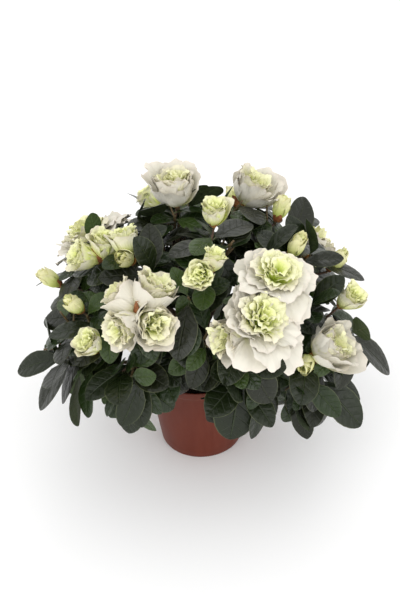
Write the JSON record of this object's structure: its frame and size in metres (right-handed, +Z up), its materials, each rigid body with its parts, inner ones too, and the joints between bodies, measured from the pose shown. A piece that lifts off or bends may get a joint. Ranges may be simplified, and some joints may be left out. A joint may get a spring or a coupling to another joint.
{
  "type": "potted azalea shrub",
  "caption": "Low domed evergreen azalea with rosettes of dark leaves and double white blooms, on short woody boughs, in a tapering nursery pot.",
  "frame": {"origin": "centre of the flat underside of the pot, at ground level", "axes": "+Z up along the pot's axis; -Y is the front of the plant; +X is its right"},
  "size_m": [0.3024, 0.2859, 0.2697],
  "materials": {
    "pot": "matt moulded terracotta-red plastic",
    "compost": "rough dark peat",
    "bark": "dry fissured bark",
    "foliage": "leathery leaves, semi-gloss above"
  },
  "bodies": {
    "root": {"pot": "pot", "compost": "compost", "stem": "bark", "bough_front_left": "bark", "bough_front_right": "bark", "bough_middle": "bark", "bough_left_upper": "bark", "bough_left_low": "bark", "bough_right_upper": "bark", "bough_right_low": "bark", "bough_top_left": "bark", "bough_top_right": "bark", "bough_back_left": "bark", "bough_back_middle": "bark", "bough_back_right": "bark", "foliage_front_left": "foliage", "foliage_front_right": "foliage", "foliage_middle": "foliage", "foliage_left_upper": "foliage", "foliage_left_low": "foliage", "foliage_right_upper": "foliage", "foliage_right_low": "foliage", "foliage_top_left": "foliage", "foliage_top_right": "foliage", "foliage_back_left": "foliage", "foliage_back_middle": "foliage", "foliage_back_right": "foliage"}
  },
  "joints": []
}
